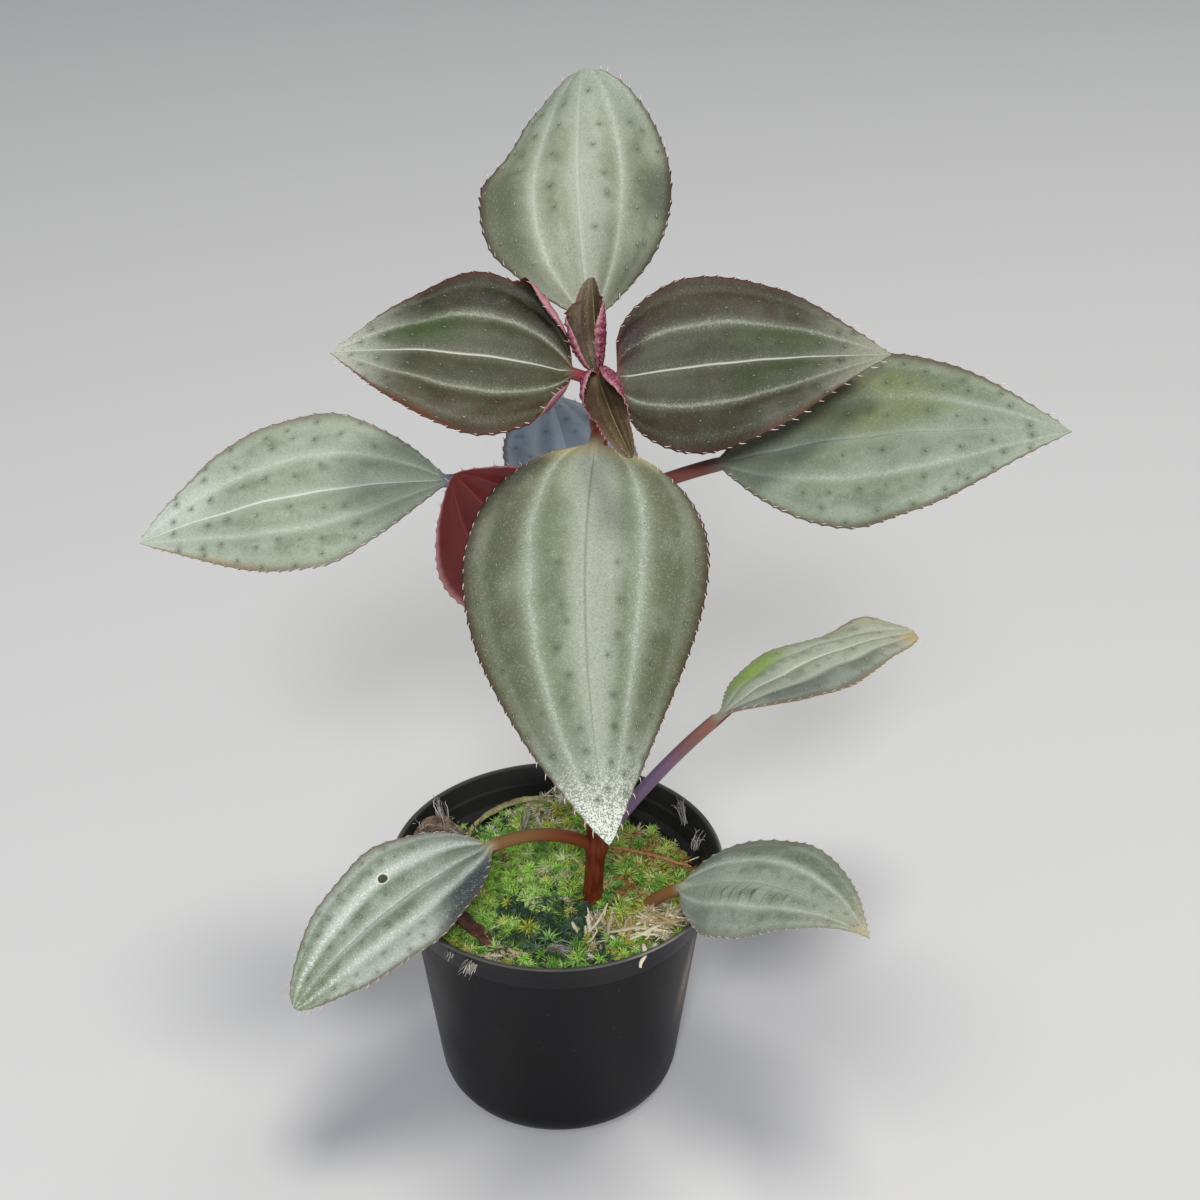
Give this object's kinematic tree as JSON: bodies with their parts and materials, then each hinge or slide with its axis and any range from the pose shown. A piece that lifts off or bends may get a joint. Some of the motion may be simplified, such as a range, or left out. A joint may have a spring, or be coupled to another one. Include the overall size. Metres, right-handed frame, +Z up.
{
  "type": "potted foliage plant",
  "caption": "Young silver-leaved foliage plant with maroon leaf undersides, growing upright from green moss in a small round dark plastic nursery pot.",
  "frame": {"origin": "centre of the pot's flat underside", "axes": "+Z up along the pot's axis, +X to the right in the front view, +Y to the back of the plant"},
  "size_m": [0.1675, 0.124, 0.2089],
  "materials": {
    "pot_plastic": "satin",
    "moss": "matte",
    "stem": "satin",
    "leaf_upper": "satin",
    "leaf_silver": "satin",
    "leaf_underside": "satin",
    "leaf_young": "satin",
    "dry_matter": "matte",
    "dead_leaf": "matte"
  },
  "bodies": {
    "root": {"pot": "pot_plastic", "moss": "moss", "stem": "stem", "leaf_upper_right": "leaf_upper", "leaf_upper_left": "leaf_upper", "leaf_top_back": "leaf_silver", "leaf_front": "leaf_silver", "leaf_middle_left": "leaf_silver", "leaf_middle_right": "leaf_silver", "leaf_underside_red": "leaf_underside", "leaf_shaded_back": "leaf_silver", "leaf_high_right": "leaf_silver", "leaf_low_left": "leaf_silver", "leaf_low_right": "leaf_silver", "leaf_young_back": "leaf_young", "leaf_young_front": "leaf_young", "dry_stalk": "dry_matter", "dry_strand_back": "dry_matter", "dead_leaf_curled": "dead_leaf", "leaf_stub_dry": "dead_leaf"}
  },
  "joints": []
}
